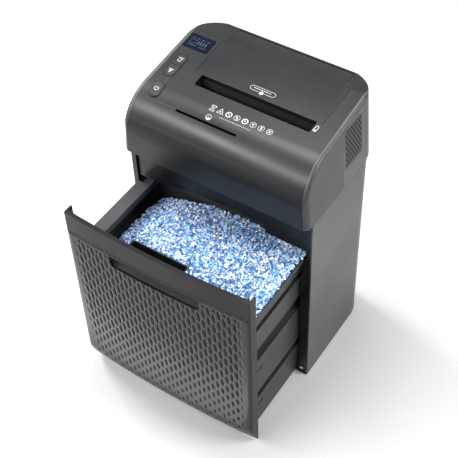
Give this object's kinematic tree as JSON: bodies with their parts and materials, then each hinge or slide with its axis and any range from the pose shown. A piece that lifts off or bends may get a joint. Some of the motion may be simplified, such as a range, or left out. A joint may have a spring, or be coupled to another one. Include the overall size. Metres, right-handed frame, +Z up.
{
  "type": "paper shredder",
  "caption": "Free-standing office paper shredder with a pull-out waste drawer, hinged autofeed lid, hand-feed slot, disc slot and geared cutting block.",
  "frame": {"origin": "on the floor, under the middle of the cabinet", "axes": "+Z up, front facing -Y, +X to the right seen from the front"},
  "size_m": [0.38, 0.444, 0.5685],
  "materials": {
    "shell_black": "fine satin texture, charcoal black",
    "gloss_black": "polished black",
    "panel_black": "satin black with a relief pattern",
    "inner_black": "matt black",
    "key_dark": "satin black with pale symbols",
    "trim_black": "gloss black trim",
    "display_navy": "dark blue tinted window",
    "screw_steel": "bright plated steel",
    "plate_steel": "zinc-plated sheet steel",
    "cutter_steel": "hardened ground steel",
    "bush_brass": "sintered bronze",
    "gear_nylon": "off-white nylon",
    "gear_steel": "sintered steel",
    "roller_rubber": "dark grey rubber",
    "board_green": "circuit-board laminate",
    "motor_paint": "black painted steel can",
    "paper_mix": "blue, lilac and white paper shreds",
    "tray_black": "matt black"
  },
  "bodies": {
    "cabinet": {"base_plate": "inner_black", "cabinet_shell": "shell_black", "control_board": "board_green", "disc_throat": "inner_black", "display_window": "display_navy", "drawer_runners_left": "inner_black", "drawer_runners_right": "inner_black", "drawer_safety_switch": "inner_black", "feed_tray": "tray_black", "front_apron": "gloss_black", "front_pillar_left": "shell_black", "front_pillar_right": "shell_black", "gear_axles": "cutter_steel", "head_base": "inner_black", "head_rear_cover": "shell_black", "head_side_left": "shell_black", "head_side_right": "shell_black", "head_top_cover": "shell_black", "key_bezels": "trim_black", "lid_hinge_brackets": "inner_black", "mains_switch_housing": "inner_black", "manual_throat": "inner_black", "motor_body": "motor_paint", "pillar_screws": "screw_steel", "power_board": "board_green", "power_inlet": "inner_black", "shaft_bushes": "bush_brass", "side_plate_left": "plate_steel", "side_plate_right": "plate_steel", "stripper_combs": "inner_black", "tie_rods": "plate_steel", "vent_grille_left": "shell_black", "vent_grille_right": "shell_black"},
    "drawer": {"drawer_panel": "panel_black", "drawer_facing": "panel_black", "handle_cup": "gloss_black", "drawer_inner_panel": "inner_black", "waste_bin": "gloss_black", "disc_bin": "gloss_black", "shredded_paper": "paper_mix"},
    "lid": {"lid": "shell_black", "lid_hinge_pins": "cutter_steel", "lid_press_pads": "roller_rubber"},
    "forward_key": {"forward_key": "key_dark"},
    "reverse_key": {"reverse_key": "key_dark"},
    "power_key": {"power_key": "key_dark"},
    "mains_rocker": {"mains_switch_rocker": "trim_black"},
    "cutter_rear": {"cutter_rear": "cutter_steel", "timing_gear_rear": "gear_steel", "final_gear": "gear_steel"},
    "cutter_front": {"cutter_front": "cutter_steel", "timing_gear_front": "gear_steel"},
    "carrier_gear": {"carrier_gear": "gear_nylon"},
    "feed_roller": {"feed_shaft": "cutter_steel", "feed_rollers": "roller_rubber", "feed_gear": "gear_nylon"},
    "second_reduction": {"second_reduction_gear": "gear_steel"},
    "first_reduction": {"first_reduction_gear": "gear_nylon"},
    "motor_rotor": {"motor_shaft": "cutter_steel"}
  },
  "joints": [
    {"name": "drawer_slide", "type": "slide", "parent": "cabinet", "child": "drawer", "axis": [0, 1, 0], "range_m": [0, 0.171]},
    {"name": "lid_hinge", "type": "hinge", "parent": "cabinet", "child": "lid", "pos_m": [0.013, 0.116, 0.5618], "axis": [-1, 0, 0], "range_deg": [0, 80]},
    {"name": "forward_key_press", "type": "slide", "parent": "cabinet", "child": "forward_key", "axis": [0, 0.1184, -0.993], "range_m": [0, 0.0012], "stiffness_N_per_m": 400, "springref_m": -0.0006},
    {"name": "reverse_key_press", "type": "slide", "parent": "cabinet", "child": "reverse_key", "axis": [0, 0.1184, -0.993], "range_m": [0, 0.0012], "stiffness_N_per_m": 400, "springref_m": -0.0006},
    {"name": "power_key_press", "type": "slide", "parent": "cabinet", "child": "power_key", "axis": [0, 0.25, -0.9682], "range_m": [0, 0.0012], "stiffness_N_per_m": 400, "springref_m": -0.0006},
    {"name": "mains_rocker_tilt", "type": "hinge", "parent": "cabinet", "child": "mains_rocker", "pos_m": [-0.104, 0.123, 0.462], "axis": [1, 0, 0], "range_deg": [-16, 0]},
    {"name": "cutter_rear_spin", "type": "hinge", "parent": "cabinet", "child": "cutter_rear", "pos_m": [0.019, -0.011, 0.47], "axis": [1, 0, 0], "continuous": true},
    {"name": "cutter_front_spin", "type": "hinge", "parent": "cabinet", "child": "cutter_front", "pos_m": [0.019, -0.043, 0.47], "axis": [1, 0, 0], "continuous": true},
    {"name": "carrier_gear_spin", "type": "hinge", "parent": "cabinet", "child": "carrier_gear", "pos_m": [0.019, 0.01217, 0.49089], "axis": [1, 0, 0], "continuous": true},
    {"name": "feed_roller_spin", "type": "hinge", "parent": "cabinet", "child": "feed_roller", "pos_m": [0.019, 0.04, 0.505], "axis": [1, 0, 0], "continuous": true},
    {"name": "second_reduction_spin", "type": "hinge", "parent": "cabinet", "child": "second_reduction", "pos_m": [0.019, 0.02197, 0.46168], "axis": [1, 0, 0], "continuous": true},
    {"name": "first_reduction_spin", "type": "hinge", "parent": "cabinet", "child": "first_reduction", "pos_m": [0.019, 0.04907, 0.48051], "axis": [1, 0, 0], "continuous": true},
    {"name": "motor_spin", "type": "hinge", "parent": "cabinet", "child": "motor_rotor", "pos_m": [0.019, 0.086, 0.474], "axis": [1, 0, 0], "continuous": true}
  ],
  "couplings": [
    {"joint": "cutter_front_spin", "follows": "cutter_rear_spin", "ratio": -1},
    {"joint": "carrier_gear_spin", "follows": "cutter_rear_spin", "ratio": -1.0526},
    {"joint": "feed_roller_spin", "follows": "cutter_rear_spin", "ratio": 1},
    {"joint": "second_reduction_spin", "follows": "cutter_rear_spin", "ratio": -1.8333},
    {"joint": "first_reduction_spin", "follows": "cutter_rear_spin", "ratio": 4.8889},
    {"joint": "motor_spin", "follows": "cutter_rear_spin", "ratio": -19.556}
  ]
}
